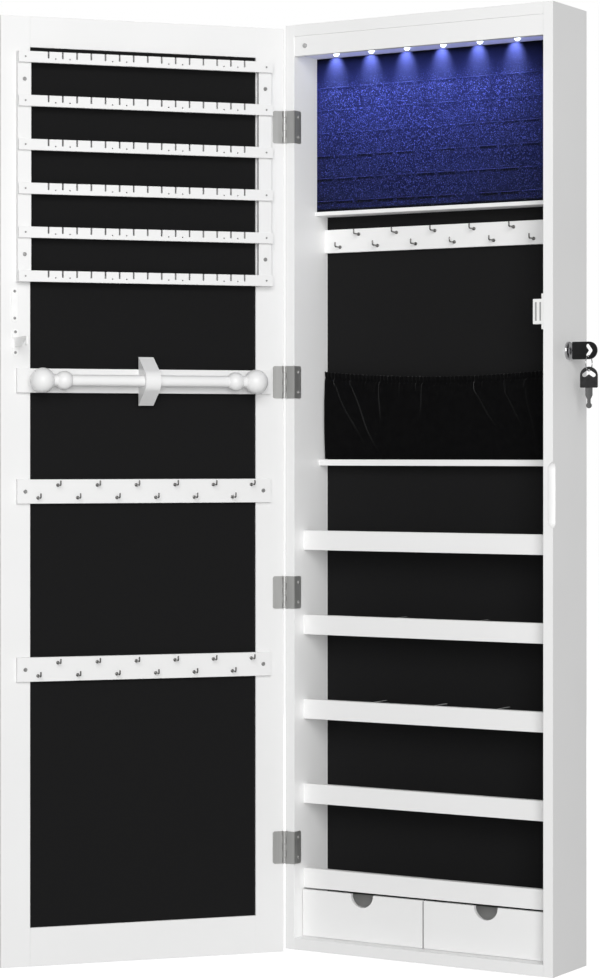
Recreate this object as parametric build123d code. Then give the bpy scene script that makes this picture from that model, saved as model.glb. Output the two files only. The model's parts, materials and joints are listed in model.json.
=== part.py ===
from build123d import *
import math
import os

# Wall-hung jewelry armoire with a mirror door, in millimetres.
# X runs along the front, -Y faces the room, Z is up.
# The origin is the middle of the cabinet's back face.

# Cabinet box
cabinet_height = 1200.0
cabinet_width = 380.0
cabinet_depth = 100.0
board_thickness = 15.0
side_thickness = 13.0
back_thickness = 9.0
lining_thickness = 3.0
edge_round = 0.4
fit_gap = 0.3

# Finger pull scooped out of the right panel's front corner
pull_height = 593.0
pull_length = 64.0
pull_radius = 9.0
pull_offset_x = 2.0
pull_offset_y = 1.0

# Keyhole plates in the rear edges of the side panels
hanger_drop = 60.0
hanger_width = 9.5
hanger_height = 44.0
hanger_thickness = 1.5
hanger_corner_radius = 4.0
keyhole_radius = 3.5
keyhole_slot_radius = 2.0
keyhole_rise = 14.0
keyhole_drop = 8.0
keyhole_pocket_depth = 12.0

# Light box under the top panel
fascia_height = 25.5
fascia_thickness = 10.0
fascia_setback = 1.0
light_board_rise = 3.0
light_board_thickness = 4.0
led_count = 6
led_pitch = 51.7
led_radius = 3.9
led_setback = 26.6
button_radius = 2.9
button_proud = 2.4
button_round = 1.7
button_flange_radius = 4.5
button_flange_thickness = 1.5
button_travel = 1.5
button_clearance = 0.1
button_from_side = 15.5
switch_width = 12.0
switch_length = 10.0
switch_height = 9.0
cell_radius = 7.2
cell_length = 50.4
cell_count = 4
cell_gap = 0.5
tray_wall = 1.5
tray_wall_height = 12.0
tray_back_gap = 1.0

# Ring cushion and its ledge
cushion_depth = 31.5
cushion_height = 198.5
cushion_slots = 6
cushion_slot_width = 2.0
cushion_slot_depth = 10.0
cushion_slot_pitch = 29.7
cushion_slot_rise = 14.3
ledge_thickness = 5.0
ledge_lip = 1.0

# Strips with necklace hooks
strip_height = 30.5
strip_thickness = 6.0
necklace_strip_thickness = 7.0
necklace_strip_drop = 17.0
hook_pitch = 28.0
door_hook_pitch = 26.0
hook_end_margin = 20.0
hook_row_offset = 8.0
hook_reach = 14.0
hook_rise = 5.0
hook_wire_radius = 1.0
hook_bend_radius = 2.0
hook_base_radius = 2.2
hook_base_height = 1.8
hook_base_round = 1.0

# Cloth pouch and its narrow shelf, measured up from the cabinet's bottom
pouch_shelf_height = 628.0
pouch_shelf_thickness = 8.0
pouch_shelf_depth = 21.5
pouch_height = 112.0
pouch_depth = 18.0
pouch_cloth = 2.0

# Shelves with front lips, measured up from the cabinet's bottom
deck_height = 77.7
shelf_pitch = 110.1
shelf_count = 4
lip_height = 25.4
lip_thickness = 9.0
lip_setback = 25.5
shelf_thickness = 5.0
divider_thickness = 3.0
divider_drop = 2.0

# Drawers
drawer_front_thickness = 5.0
drawer_front_setback = 21.0
drawer_side_gap = 1.2
drawer_top_gap = 2.0
drawer_wall = 5.0
drawer_floor = 3.0
drawer_box_height = 50.0
drawer_back_gap = 1.5
partition_thickness = 4.0
notch_radius = 16.3
notch_drop = 0.5

# Door, hinged on the left, hanging a little lower than the cabinet
door_gap = 3.0
door_thickness = 15.0
door_drop = 4.0
door_open_angle = 129.0
stile_width = 38.5
top_rail_height = 39.0
bottom_rail_height = 49.0
mirror_thickness = 3.0
mirror_lip_thickness = 3.0
mirror_lip_width = 6.0
door_lining_recess = 2.0
fitting_margin = 20.0

# Hinges
hinge_length = 42.0
hinge_end_offset = 132.0
hinge_mid_offset = 136.5
hinge_leaf_thickness = 1.2
hinge_leaf_width = 13.0
hinge_wrap_length = 16.0
hinge_knuckle_radius = 2.8
hinge_pin_radius = 1.5
hinge_pin_clearance = 0.05
hinge_axis_out = 0.6
hinge_knuckles = 5
hinge_knuckle_gap = 0.3
hinge_clearance = 0.4
hinge_corner_radius = 3.0
hinge_screw_pitch = 26.0
hinge_screw_setback = 9.9

# Lock in the right panel, measured down from the cabinet's top
lock_drop = 428.5
lock_setback = 45.0
lock_flange_radius = 11.5
lock_flange_height = 3.0
lock_flange_round = 1.8
lock_barrel_radius = 9.0
lock_plug_radius = 5.0
plug_recess = 1.0
lock_clearance = 0.05
lock_nut_radius = 11.5
lock_nut_thickness = 2.0
cam_length = 13.0
cam_half_width = 4.0
cam_thickness = 2.0
cam_pin_radius = 3.0
key_slot_gap = 0.15
key_blade_width = 7.0
key_blade_thickness = 2.0
key_blade_depth = 18.0
key_stand_off = 2.8
key_head_height = 21.8
key_head_length = 33.0
key_head_thickness = 3.0
key_hole_radius = 2.6
key_hole_half_span = 5.6
key_hole_bend = 4.0
key_hole_from_end = 8.3
ring_wire_radius = 0.7
ring_radius = 9.5
ring_web_offset = 2.95
ring_from_bend = 1.33
spare_head_length = 26.0
spare_hole_from_end = 6.2
spare_blade_length = 25.5
spare_shoulder_length = 9.2
spare_neck_start = 14.3
spare_blade_width = 9.0
spare_neck_width = 4.4
spare_bulb_radius = 3.6
spare_twist = 25.0
spare_wire_gap = 1.7

# Lock tongue, strike plate and magnet catch
tongue_length = 57.0
tongue_height = 11.5
tongue_thickness = 2.0
tongue_from_edge = 18.8
tongue_above_lock = 7.0
tongue_slot_margin = 1.0
tongue_plate_width = 8.0
tongue_plate_height = 34.0
plate_thickness = 1.5
tongue_window_width = 3.4
tongue_screw_pitch = 26.0
strike_width = 8.0
strike_height = 43.0
strike_from_edge = 17.8
strike_above_lock = 60.0
strike_screw_pitch = 34.0
catch_above_lock = 47.5
catch_height = 31.0
catch_proud = 14.0
catch_depth = 12.0
catch_ear_height = 44.0
catch_ear_thickness = 2.5
catch_setback = 0.5
catch_pole_width = 2.0
catch_pole_inset = 4.0
catch_pole_proud = 0.4
catch_pole_depth = 5.0

# Earring rack, measured down from the door's top; its bars end above the strike plate
rack_drop = 45.7
rack_strike_gap = 4.0
rack_bar_pitch = 55.2
rack_bar_height = 14.0
rack_bar_thickness = 5.0
rack_post_width = 17.5
rack_post_thickness = 9.0
rack_slots = 15
rack_slot_pitch = 18.75
rack_slot_width = 2.3
rack_slot_depth = 8.5
stud_hole_radius = 1.0
stud_hole_drop = 8.8
rack_nail_radius = 1.1
rack_nail_proud = 0.3

# Bracelet rod on its strip, measured down from the lock
bracelet_below_lock = 35.5
bracket_width = 20.0
bracket_height = 62.0
bracket_reach = 33.0
bracket_nose_half = 13.0
bracket_nose_start = 26.0
rod_radius = 7.3
rod_above_strip = 20.0
rod_length = 316.0
rod_ball_radius = 15.8
rod_bead_radius = 12.0
rod_bead_spacing = 28.0
rod_fit = 0.1

# Hook strips on the door, measured down from the door's top
upper_strip_drop = 600.0
lower_strip_drop = 824.5
strip_screw_from_end = 10.5

# Small screws
screw_head_radius = 2.5
screw_head_height = 1.0
screw_head_round = 0.45
screw_shank_radius = 1.4
screw_length = 14.0
panel_screw_length = 11.0
screw_hole_gap = 0.1
screw_cross_length = 3.25
screw_cross_width = 0.7
screw_cross_depth = 0.5
small_screw_scale = 0.72

# Places worked out from the sizes above
half_width = cabinet_width / 2
inner_half = half_width - side_thickness
front_y = -cabinet_depth
top_z = cabinet_height / 2
bottom_z = -cabinet_height / 2
inner_top = top_z - board_thickness
inner_bottom = bottom_z + board_thickness
lining_y = -back_thickness - lining_thickness
fascia_bottom = inner_top - fascia_height
light_board_bottom = fascia_bottom + light_board_rise
cushion_bottom = fascia_bottom - cushion_height
ledge_bottom = cushion_bottom - ledge_thickness
lock_z = top_z - lock_drop
lock_y = front_y + lock_setback
door_face = front_y - door_gap
door_back = door_face - door_thickness
door_top = top_z - door_drop
door_bottom = bottom_z - door_drop
opening_half = half_width - stile_width
opening_top = door_top - top_rail_height
opening_bottom = door_bottom + bottom_rail_height
fitting_half = half_width - fitting_margin
hinge_x = -half_width - hinge_axis_out
hinge_y = front_y - door_gap / 2
hinge_heights = (
    bottom_z + hinge_end_offset,
    -hinge_mid_offset,
    hinge_mid_offset,
    top_z - hinge_end_offset,
)
strip_face = door_face + strip_thickness
door_strip_drops = (upper_strip_drop, lower_strip_drop)

nodes = {}


def block(x0, x1, y0, y1, z0, z1):
    """A box between two corners."""
    middle = Pos((x0 + x1) / 2, (y0 + y1) / 2, (z0 + z1) / 2)
    return middle * Box(abs(x1 - x0), abs(y1 - y0), abs(z1 - z0))


def board(x0, x1, y0, y1, z0, z1, grain):
    """A board whose long edges, along the axis given, are slightly rounded."""
    plain = block(x0, x1, y0, y1, z0, z1)
    return fillet(plain.edges().filter_by(grain), edge_round)


def bar_along(direction, start, end, across, radius):
    """A round bar along X or Y from start to end, at the other two coordinates."""
    length = abs(end - start)
    middle = (start + end) / 2
    if direction == "x":
        return Pos(middle, across[0], across[1]) * Rot(0, 90, 0) * Cylinder(radius, length)
    return Pos(across[0], middle, across[1]) * Rot(90, 0, 0) * Cylinder(radius, length)


def capsule(start, end, radius, y0, y1):
    """A plate along Y whose XZ outline is a slot between two points."""
    span = math.dist(start, end)
    angle = math.degrees(math.atan2(end[1] - start[1], end[0] - start[0]))
    outline = Rot(0, 0, angle) * SlotCenterToCenter(span, 2 * radius)
    solid = extrude(outline, (y1 - y0) / 2, both=True)
    middle_x = (start[0] + end[0]) / 2
    middle_z = (start[1] + end[1]) / 2
    return Pos(middle_x, (y0 + y1) / 2, middle_z) * Rot(90, 0, 0) * solid


def group(solids):
    """Separate solids that share one node."""
    return Compound(children=[solid for item in solids for solid in item.solids()])


def open_door(shape):
    """Turns a piece built on the closed door to the door's rest angle."""
    axis = Axis((hinge_x, hinge_y, 0), (0, 0, 1))
    return shape.rotate(axis, -door_open_angle)


def screw(place, scale=1.0, length=screw_length):
    """A cross-headed screw whose head lies on the plane given."""
    head_height = screw_head_height * scale
    head = Pos(0, 0, head_height / 2) * Cylinder(screw_head_radius * scale, head_height)
    head = fillet(head.edges().group_by(Axis.Z)[-1], screw_head_round * scale)
    arm = screw_cross_length * scale
    width = screw_cross_width * scale
    cut_height = screw_cross_depth * scale
    cut = Box(arm, width, cut_height) + Box(width, arm, cut_height)
    head = head - Pos(0, 0, head_height - cut_height / 2) * cut
    shank = Pos(0, 0, -length / 2) * Cylinder(screw_shank_radius * scale, length)
    return place.location * (head + shank)


def screw_hole(place, scale=1.0, length=screw_length):
    """The clearance hole of a screw, through what it holds and into what it bites."""
    depth = length + fit_gap
    radius = screw_shank_radius * scale + screw_hole_gap
    return place.location * (Pos(0, 0, -depth / 2) * Cylinder(radius, depth))


def spread(count, pitch):
    """Evenly spaced offsets about zero."""
    return [(i - (count - 1) / 2) * pitch for i in range(count)]


# Screws: each place is a plane on the surface, facing out of it
wrap_face = -inner_half + hinge_leaf_thickness
hinge_screws = [
    Plane((wrap_face, front_y + hinge_screw_setback, height + offset), z_dir=(1, 0, 0))
    for height in hinge_heights
    for offset in spread(2, hinge_screw_pitch)
]
catch_z = lock_z + catch_above_lock
catch_middle = front_y + catch_setback + catch_depth / 2
catch_screw_half = (catch_ear_height / 2 + catch_height / 2) / 2
catch_screws = [
    Plane((inner_half - catch_ear_thickness, catch_middle, catch_z + offset), z_dir=(-1, 0, 0))
    for offset in (-catch_screw_half, catch_screw_half)
]
tongue_z = lock_z + tongue_above_lock + tongue_height / 2
tongue_x = half_width - tongue_from_edge
strike_x = half_width - strike_from_edge
strike_z = lock_z + strike_above_lock
rack_top = door_top - rack_drop
rack_room = rack_top - (strike_z + strike_height / 2 + rack_strike_gap)
rack_bars = int((rack_room - rack_bar_height) / rack_bar_pitch) + 1
rack_bar_heights = [rack_top - rack_bar_height / 2 - i * rack_bar_pitch for i in range(rack_bars)]
rack_post_x = fitting_half - rack_post_width / 2
rack_post_face = door_face + rack_post_thickness
rack_screws = [
    Plane((side * rack_post_x, rack_post_face, (rack_bar_heights[upper] + rack_bar_heights[upper + 1]) / 2),
          z_dir=(0, 1, 0))
    for side in (-1, 1)
    for upper in (0, rack_bars - 2)
]
strip_screw_x = fitting_half - strip_screw_from_end
strip_screws = [
    Plane((side * strip_screw_x, strip_face, door_top - drop), z_dir=(0, 1, 0))
    for side in (-1, 1)
    for drop in door_strip_drops
]
tongue_screws = [
    Plane((tongue_x, door_face + plate_thickness, tongue_z + offset), z_dir=(0, 1, 0))
    for offset in spread(2, tongue_screw_pitch)
]
strike_screws = [
    Plane((strike_x, door_face + plate_thickness, strike_z + offset), z_dir=(0, 1, 0))
    for offset in spread(2, strike_screw_pitch)
]
hinge_screw_holes = [screw_hole(place, length=panel_screw_length) for place in hinge_screws]
catch_screw_holes = [screw_hole(place, small_screw_scale, panel_screw_length) for place in catch_screws]
rack_screw_holes = [screw_hole(place) for place in rack_screws]
strip_screw_holes = [screw_hole(place) for place in strip_screws]
plate_screw_holes = [screw_hole(place, small_screw_scale) for place in tongue_screws + strike_screws]
nodes["cabinet_screws"] = group(
    [screw(place, length=panel_screw_length) for place in hinge_screws]
    + [screw(place, small_screw_scale, panel_screw_length) for place in catch_screws]
)


# Cabinet boards
def hanger_pocket(side):
    """Recess for a keyhole plate, and the deeper pocket for the screw's head."""
    x = side * (half_width - side_thickness / 2)
    z = top_z - hanger_drop
    half = hanger_width / 2 + fit_gap
    tall = hanger_height / 2 + fit_gap
    recess = block(x - half, x + half, -hanger_thickness, 0, z - tall, z + tall)
    reach = keyhole_radius + fit_gap
    low = z - keyhole_drop - reach
    high = z - keyhole_drop + keyhole_rise + reach
    return recess + block(x - reach, x + reach, -keyhole_pocket_depth, 0, low, high)


def knuckle_notches(x_edge, y_edge):
    """Corner cuts that leave room for the hinge knuckles, from an outer corner inwards."""
    reach = hinge_knuckle_radius + hinge_clearance
    tall = hinge_length / 2 + hinge_clearance
    far_y = hinge_y + reach if y_edge > hinge_y else hinge_y - reach
    return [
        block(x_edge - reach, hinge_x + reach, hinge_y, far_y, height - tall, height + tall)
        for height in hinge_heights
    ]


left_panel = board(-half_width, -inner_half, front_y, 0, bottom_z, top_z, Axis.Z)
left_panel = left_panel - hanger_pocket(-1) - knuckle_notches(-half_width, 0)
nodes["left_side_panel"] = left_panel - hinge_screw_holes

right_panel = board(inner_half, half_width, front_y, 0, bottom_z, top_z, Axis.Z)
pull_x = half_width + pull_offset_x
pull_y = front_y - pull_offset_y
pull_z = bottom_z + pull_height
pull = Pos(pull_x, pull_y, pull_z) * Cylinder(pull_radius, pull_length)
for end in spread(2, pull_length):
    pull = pull + Pos(pull_x, pull_y, pull_z + end) * Sphere(pull_radius)
barrel_hole = bar_along("x", inner_half, half_width, (lock_y, lock_z), lock_barrel_radius + fit_gap)
nodes["right_side_panel"] = right_panel - hanger_pocket(1) - pull - barrel_hole - catch_screw_holes

nodes["top_panel"] = board(-inner_half, inner_half, front_y, 0, inner_top, top_z, Axis.X)
nodes["bottom_panel"] = board(-inner_half, inner_half, front_y, 0, bottom_z, inner_bottom, Axis.X)
nodes["back_panel"] = block(-inner_half, inner_half, -back_thickness, 0, inner_bottom, inner_top)
nodes["back_lining"] = block(-inner_half, inner_half, lining_y, -back_thickness, inner_bottom, inner_top)


def hanger_plate(side):
    """A flat plate with a keyhole: a round entry and a narrow slot above it."""
    x = side * (half_width - side_thickness / 2)
    z = top_z - hanger_drop
    plate = block(x - hanger_width / 2, x + hanger_width / 2, -hanger_thickness, 0,
                  z - hanger_height / 2, z + hanger_height / 2)
    plate = fillet(plate.edges().filter_by(Axis.Y), hanger_corner_radius)
    entry_z = z - keyhole_drop
    entry = bar_along("y", -hanger_thickness, 0, (x, entry_z), keyhole_radius)
    slot = capsule((x, entry_z), (x, entry_z + keyhole_rise), keyhole_slot_radius, -hanger_thickness, 0)
    return plate - entry - slot


nodes["hanger_plates"] = group([hanger_plate(-1), hanger_plate(1)])

# Light box: fascia, board with lamps, push switch and battery tray
fascia_front = front_y + fascia_setback
fascia_back = fascia_front + fascia_thickness
button_x = -inner_half + button_from_side
button_z = fascia_bottom + fascia_height / 2
button_bore = button_radius + button_clearance
button_hole = bar_along("y", fascia_front, fascia_back, (button_x, button_z), button_bore)
fascia = board(-inner_half, inner_half, fascia_front, fascia_back, fascia_bottom, inner_top, Axis.X)
nodes["light_fascia"] = fascia - button_hole
light_board_top = light_board_bottom + light_board_thickness
nodes["light_board"] = block(-inner_half, inner_half, fascia_back, lining_y,
                             light_board_bottom, light_board_top)
led_y = front_y + led_setback
led_cut = block(-inner_half, inner_half, fascia_back, 0, light_board_bottom, top_z)
nodes["led_lenses"] = group([Pos(x, led_y, light_board_bottom) * Sphere(led_radius) - led_cut
                             for x in spread(led_count, led_pitch)])

button_front = fascia_front - button_proud
flange_front = fascia_back + fit_gap
flange_back = flange_front + button_flange_thickness
button_stem = bar_along("y", button_front, flange_back, (button_x, button_z), button_radius)
button_stem = fillet(button_stem.edges().group_by(Axis.Y)[0], button_round)
button_flange = bar_along("y", flange_front, flange_back, (button_x, button_z), button_flange_radius)
nodes["light_button"] = button_stem + button_flange
switch_front = flange_back + button_travel + fit_gap
switch_body = block(button_x - switch_width / 2, button_x + switch_width / 2,
                    switch_front, switch_front + switch_length,
                    light_board_top, button_z + switch_height / 2)

cell_pitch = 2 * cell_radius + cell_gap
tray_half = cell_count * cell_pitch / 2 + cell_gap / 2
tray_length = cell_length + 2 * cell_gap
tray_front = lining_y - tray_back_gap - tray_wall - tray_length
tray_outer = block(-tray_half - tray_wall, tray_half + tray_wall, tray_front - tray_wall,
                   tray_front + tray_length + tray_wall, light_board_top, light_board_top + tray_wall_height)
tray_inner = block(-tray_half, tray_half, tray_front, tray_front + tray_length,
                   light_board_top + tray_wall, light_board_top + tray_wall_height)
nodes["battery_tray_and_switch"] = group([tray_outer - tray_inner, switch_body])
cell_z = light_board_top + tray_wall + cell_radius + fit_gap
nodes["batteries"] = group([
    bar_along("y", tray_front + cell_gap, tray_front + cell_gap + cell_length, (x, cell_z), cell_radius)
    for x in spread(cell_count, cell_pitch)
])

# Ring cushion with finger-wide rolls, on its ledge
cushion_front = lining_y - cushion_depth
cushion = block(-inner_half + fit_gap, inner_half - fit_gap, cushion_front, lining_y - fit_gap,
                cushion_bottom + fit_gap, light_board_bottom - fit_gap)
slot_half = cushion_slot_width / 2
for i in range(cushion_slots):
    slot_z = cushion_bottom + cushion_slot_rise + i * cushion_slot_pitch
    cushion = cushion - block(-inner_half, inner_half, cushion_front, cushion_front + cushion_slot_depth,
                              slot_z - slot_half, slot_z + slot_half)
nodes["ring_cushion"] = cushion
nodes["ring_ledge"] = board(-inner_half, inner_half, cushion_front - ledge_lip, lining_y,
                            ledge_bottom, cushion_bottom, Axis.X)


# Necklace hooks
def hook(x, face_y, z, facing):
    """A wire hook: domed base on the face, a shaft out of it, and a tip turned up."""
    reach = facing * hook_reach
    corners = [(x, face_y, z), (x, face_y + reach, z), (x, face_y + reach, z + hook_rise)]
    path = FilletPolyline(*corners, radius=hook_bend_radius)
    wire = sweep(Plane(corners[0], z_dir=(0, facing, 0)) * Circle(hook_wire_radius), path)
    tip = Pos(*corners[2]) * Sphere(hook_wire_radius)
    dome = Pos(0, 0, hook_base_height / 2) * Cylinder(hook_base_radius, hook_base_height)
    dome = fillet(dome.edges().group_by(Axis.Z)[-1], hook_base_round)
    return Plane(corners[0], z_dir=(0, facing, 0)).location * dome + wire + tip


def hook_row(half_length, face_y, z, pitch, facing):
    """Hooks along a strip, in turn on the lower and upper row from its left end, as one facing it sees it."""
    room = 2 * (half_length - hook_end_margin)
    count = 2 * int((room / pitch + 1) / 2)
    return [
        hook(x, face_y, z - facing * (hook_row_offset if i % 2 else -hook_row_offset), facing)
        for i, x in enumerate(spread(count, pitch))
    ]


necklace_top = ledge_bottom - necklace_strip_drop
necklace_face = lining_y - necklace_strip_thickness
nodes["necklace_strip"] = board(-inner_half, inner_half, necklace_face, lining_y,
                                necklace_top - strip_height, necklace_top, Axis.X)
nodes["necklace_hooks"] = group(
    hook_row(inner_half, necklace_face, necklace_top - strip_height / 2, hook_pitch, -1)
)

# Pouch: a cloth front with returns to the lining, open at the top, on a narrow shelf
pouch_floor = bottom_z + pouch_shelf_height + pouch_shelf_thickness
nodes["pouch_shelf"] = board(-inner_half, inner_half, lining_y - pouch_shelf_depth, lining_y,
                             pouch_floor - pouch_shelf_thickness, pouch_floor, Axis.X)
pouch_half = inner_half - fit_gap
pouch_front = lining_y - pouch_depth
pouch_low = pouch_floor + fit_gap
pouch_high = pouch_floor + pouch_height
pouch_outer = block(-pouch_half, pouch_half, pouch_front, lining_y - fit_gap, pouch_low, pouch_high)
pouch_inner = block(-pouch_half + pouch_cloth, pouch_half - pouch_cloth, pouch_front + pouch_cloth, lining_y,
                    pouch_low, pouch_high)
nodes["pouch"] = pouch_outer - pouch_inner

# Shelves: a board behind a tall front lip
lip_front = front_y + lip_setback
lip_back = lip_front + lip_thickness


def shelf(bottom):
    """A shelf board and its lip, glued face to face."""
    lip = board(-inner_half, inner_half, lip_front, lip_back, bottom, bottom + lip_height, Axis.X)
    floor = block(-inner_half, inner_half, lip_back, lining_y, bottom, bottom + shelf_thickness)
    return group([lip, floor])


deck_bottom = bottom_z + deck_height
nodes["drawer_deck"] = shelf(deck_bottom)
for level in range(1, shelf_count + 1):
    nodes[f"shelf_{level}"] = shelf(deck_bottom + (shelf_count + 1 - level) * shelf_pitch)


def dividers(level, bays):
    """Thin uprights that part one shelf into equal bays."""
    floor_z = deck_bottom + (shelf_count + 1 - level) * shelf_pitch + shelf_thickness
    half = divider_thickness / 2
    tall = lip_height - shelf_thickness - divider_drop
    return [
        block(x - half, x + half, lip_back, lining_y, floor_z, floor_z + tall)
        for x in spread(bays - 1, 2 * inner_half / bays)
    ]


drawer_back = lining_y - drawer_back_gap
drawer_front = front_y + drawer_front_setback
drawer_box_front = drawer_front + drawer_front_thickness
partition_half = partition_thickness / 2
partition = block(-partition_half, partition_half, drawer_box_front + fit_gap, lining_y,
                  inner_bottom, deck_bottom)
nodes["dividers"] = group(dividers(2, 3) + dividers(3, 4) + [partition])


# Drawers
def drawer(side):
    """A drawer's front and its box of four boards."""
    inner_x = side * drawer_side_gap
    outer_x = side * (inner_half - drawer_side_gap)
    low = inner_bottom + fit_gap
    high = deck_bottom - drawer_top_gap
    front = block(min(inner_x, outer_x), max(inner_x, outer_x), drawer_front, drawer_box_front, low, high)
    front = fillet(front.edges().filter_by(Axis.X), edge_round)
    middle_x = (inner_x + outer_x) / 2
    notch = bar_along("y", drawer_front, drawer_box_front, (middle_x, high - notch_drop), notch_radius)
    front = front - notch
    box_inner = side * (partition_half + drawer_side_gap)
    walls = []
    box_high = low + drawer_box_height
    floor_top = low + drawer_floor
    for edge in (box_inner, outer_x - side * drawer_wall):
        walls.append(block(edge, edge + side * drawer_wall, drawer_box_front, drawer_back, low, box_high))
    left = box_inner + side * drawer_wall
    right = outer_x - side * drawer_wall
    walls.append(block(left, right, drawer_back - drawer_wall, drawer_back, low, box_high))
    walls.append(block(left, right, drawer_box_front, drawer_back - drawer_wall, low, floor_top))
    return front, group(walls)


nodes["drawer_left_front"], nodes["drawer_left_box"] = drawer(-1)
nodes["drawer_right_front"], nodes["drawer_right_box"] = drawer(1)

# Magnet catch on the right wall
catch_face = front_y + catch_setback
catch_back = catch_face + catch_depth
ears = board(inner_half - catch_ear_thickness, inner_half, catch_face, catch_back,
             catch_z - catch_ear_height / 2, catch_z + catch_ear_height / 2, Axis.X)
housing = board(inner_half - catch_proud, inner_half - catch_ear_thickness, catch_face, catch_back,
                catch_z - catch_height / 2, catch_z + catch_height / 2, Axis.X)
pole_x = [inner_half - catch_proud + catch_pole_inset, inner_half - catch_pole_inset]
pole_half = catch_height / 2 - catch_pole_inset
poles = [
    block(x - catch_pole_width / 2, x + catch_pole_width / 2, catch_face - catch_pole_proud,
          catch_face + catch_pole_depth, catch_z - pole_half, catch_z + pole_half)
    for x in pole_x
]
nodes["magnet_catch"] = ears + housing - poles - catch_screw_holes
nodes["catch_poles"] = group(poles)


# Lock: barrel in the panel, plug with a cam, and the key
def lock_ring(x0, x1, outer, inner):
    """A ring about the lock's axis."""
    return bar_along("x", x0, x1, (lock_y, lock_z), outer) - bar_along("x", x0, x1, (lock_y, lock_z), inner)


flange_face = half_width + lock_flange_height
nut_face = inner_half - lock_nut_thickness
plug_bore = lock_plug_radius + lock_clearance
flange = bar_along("x", half_width, flange_face, (lock_y, lock_z), lock_flange_radius)
flange = fillet(flange.edges().group_by(Axis.X)[-1], lock_flange_round)
barrel = flange + bar_along("x", nut_face, half_width, (lock_y, lock_z), lock_barrel_radius)
nodes["lock_barrel"] = barrel - bar_along("x", nut_face, flange_face, (lock_y, lock_z), plug_bore)
nodes["lock_nut"] = lock_ring(nut_face, inner_half, lock_nut_radius, lock_barrel_radius + lock_clearance)

cam_outer = tongue_x + tongue_thickness / 2
cam_inner = tongue_x - tongue_thickness / 2
plug_face = flange_face - plug_recess
plug = bar_along("x", cam_outer + fit_gap, plug_face, (lock_y, lock_z), lock_plug_radius)
plug = plug + bar_along("x", cam_inner - fit_gap, cam_outer + fit_gap, (lock_y, lock_z), cam_pin_radius)
blade_half = key_blade_width / 2
blade_side = key_blade_thickness / 2
blade_tip = plug_face - key_blade_depth
way_side = blade_side + key_slot_gap
way_half = blade_half + key_slot_gap
key_way = block(blade_tip - fit_gap, plug_face, lock_y - way_side, lock_y + way_side,
                lock_z - way_half, lock_z + way_half)
nodes["lock_plug"] = plug - key_way
cam = Rot(0, 0, -90) * capsule((0, 0), (cam_length - cam_half_width, 0), cam_half_width, 0, cam_thickness)
cam = Pos(cam_inner, lock_y, lock_z) * cam
cam_bore = cam_pin_radius + lock_clearance
nodes["lock_cam"] = cam - bar_along("x", cam_inner, cam_outer, (lock_y, lock_z), cam_bore)

head_x = flange_face + key_stand_off


def key_head(length, hole_from_end):
    """A plastic key head from x = 0 to its length, with a full round end and a bent hole."""
    half = key_head_height / 2
    y = key_head_thickness / 2
    body = block(0, length - half, -y, y, -half, half) + bar_along("y", -y, y, (length - half, 0), half)
    body = fillet(body.edges().filter_by(Axis.Y).group_by(Axis.X)[0], key_head_thickness / 2)
    bend = (length - hole_from_end, 0)
    for side in (-1, 1):
        limb_end = (length - hole_from_end - key_hole_bend, side * key_hole_half_span)
        body = body - capsule(limb_end, bend, key_hole_radius, -y, y)
    return body


nodes["key_head"] = Pos(head_x, lock_y, lock_z) * key_head(key_head_length, key_hole_from_end)
nodes["key_blade"] = block(blade_tip, head_x, lock_y - blade_side, lock_y + blade_side,
                           lock_z - blade_half, lock_z + blade_half)

# Key ring through the key's hole, and the spare key hanging from it
web_low = -key_head_height / 2
web_high = -key_hole_half_span - key_hole_radius + fit_gap
web_z = lock_z + (web_low + web_high) / 2
ring_x = head_x + key_head_length - key_hole_from_end - key_hole_bend + ring_from_bend
ring_top = web_z + ring_web_offset
ring_z = ring_top - ring_radius
nodes["key_ring"] = Pos(ring_x, lock_y, ring_z) * Rot(0, 90, 0) * Torus(ring_radius, ring_wire_radius)
spare_grip = spare_head_length - spare_hole_from_end + key_hole_radius - spare_wire_gap
spare_pivot_z = ring_z - ring_radius
hang_spare = Pos(ring_x, lock_y, spare_pivot_z) * Rot(0, 0, spare_twist)
hang_spare = hang_spare * Pos(0, 0, -spare_grip) * Rot(0, -90, 0)
nodes["spare_key_head"] = hang_spare * key_head(spare_head_length, spare_hole_from_end)
bulb_x = -spare_blade_length + spare_bulb_radius
blade_outline = Polyline(
    (0, spare_blade_width / 2),
    (-spare_shoulder_length, spare_blade_width / 2),
    (-spare_neck_start, spare_neck_width / 2),
    (bulb_x, spare_neck_width / 2),
    (bulb_x, -spare_neck_width / 2),
    (-spare_neck_start, -spare_neck_width / 2),
    (-spare_shoulder_length, -spare_blade_width / 2),
    (0, -spare_blade_width / 2),
    close=True,
)
spare_blade = extrude(make_face(blade_outline), key_blade_thickness / 2, both=True)
spare_blade = spare_blade + Pos(bulb_x, 0, 0) * Cylinder(spare_bulb_radius, key_blade_thickness)
nodes["spare_key_blade"] = hang_spare * Rot(90, 0, 0) * spare_blade


# Hinges: a flat leaf on the door, and a leaf that wraps the panel's front edge
def knuckle_spans(height):
    """The knuckles of one hinge, from the bottom up, as low and high ends."""
    step = hinge_length / hinge_knuckles
    low = height - hinge_length / 2
    gap = hinge_knuckle_gap / 2
    return [(low + i * step + gap, low + (i + 1) * step - gap) for i in range(hinge_knuckles)]


def knuckles(height, first, y0, y1):
    """Every other knuckle of a hinge, with the tabs that join them to a leaf."""
    root_x = hinge_x + hinge_knuckle_radius + hinge_clearance
    solids = []
    for low, high in knuckle_spans(height)[first::2]:
        roll = Pos(hinge_x, hinge_y, (low + high) / 2) * Cylinder(hinge_knuckle_radius, high - low)
        tab = block(hinge_x, root_x + hinge_clearance, y0, y1, low, high)
        bore_radius = hinge_pin_radius + hinge_pin_clearance
        bore = Pos(hinge_x, hinge_y, (low + high) / 2) * Cylinder(bore_radius, high - low)
        solids.append(roll + tab - bore)
    return solids


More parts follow.
